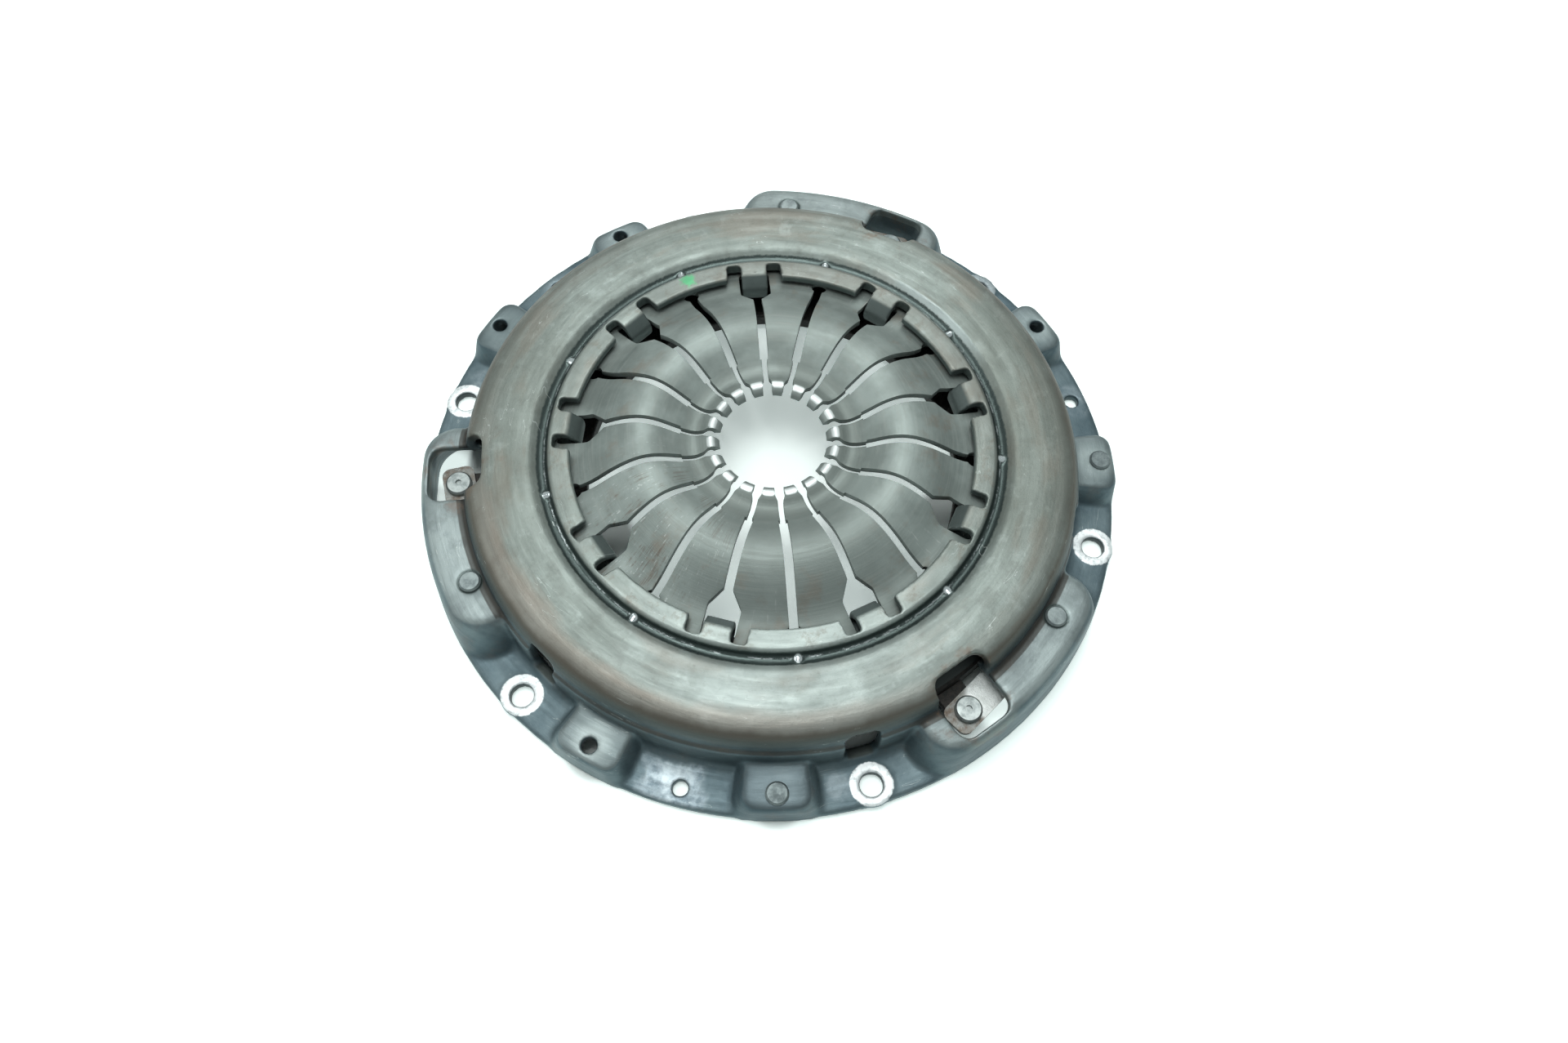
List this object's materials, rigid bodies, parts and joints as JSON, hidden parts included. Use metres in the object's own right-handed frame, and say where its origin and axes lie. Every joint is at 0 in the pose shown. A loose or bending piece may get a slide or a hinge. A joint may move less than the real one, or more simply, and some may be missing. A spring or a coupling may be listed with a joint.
{
  "type": "clutch pressure plate",
  "caption": "Push-type clutch cover assembly: pressed steel cover, diaphragm spring with slotted fingers, cast pressure plate and sprung drive straps.",
  "frame": {"origin": "centre of the bolt circle, on the plane of the bolt seats that bear on the flywheel", "axes": "+Z along the crankshaft axis from the flywheel to the release bearing, +X through the first bolt hole"},
  "size_m": [0.2918, 0.2902, 0.0402],
  "materials": {
    "cover_steel": "pressed steel, oiled",
    "spring_steel": "hardened and tempered, worn bright on the finger tips",
    "plate_iron": "cast, with a turned friction face",
    "strap_steel": "rolled spring strip, lightly rusted",
    "rivet_steel": "cold headed, bright"
  },
  "bodies": {
    "cover_body": {"cover": "cover_steel", "diaphragm_spring": "spring_steel", "fulcrum_ring": "spring_steel", "strap_1_leaf_1": "strap_steel", "strap_1_leaf_2": "strap_steel", "strap_1_leaf_3": "strap_steel", "strap_2_leaf_1": "strap_steel", "strap_2_leaf_2": "strap_steel", "strap_2_leaf_3": "strap_steel", "strap_3_leaf_1": "strap_steel", "strap_3_leaf_2": "strap_steel", "strap_3_leaf_3": "strap_steel", "cover_rivet_1": "rivet_steel", "cover_rivet_2": "rivet_steel", "cover_rivet_3": "rivet_steel", "balance_rivet_1": "rivet_steel", "balance_rivet_2": "rivet_steel"},
    "plate_body": {"pressure_plate": "plate_iron", "plate_rivet_1": "rivet_steel", "plate_rivet_2": "rivet_steel", "plate_rivet_3": "rivet_steel"}
  },
  "joints": [
    {"name": "plate_lift", "type": "slide", "parent": "cover_body", "child": "plate_body", "axis": [0, 0, 1], "range_m": [0, 0.0065], "stiffness_N_per_m": 30000, "springref_m": -0.002, "deforming": ["diaphragm_spring", "strap_1_leaf_1", "strap_1_leaf_2", "strap_1_leaf_3", "strap_2_leaf_1", "strap_2_leaf_2", "strap_2_leaf_3", "strap_3_leaf_1", "strap_3_leaf_2", "strap_3_leaf_3"]}
  ]
}
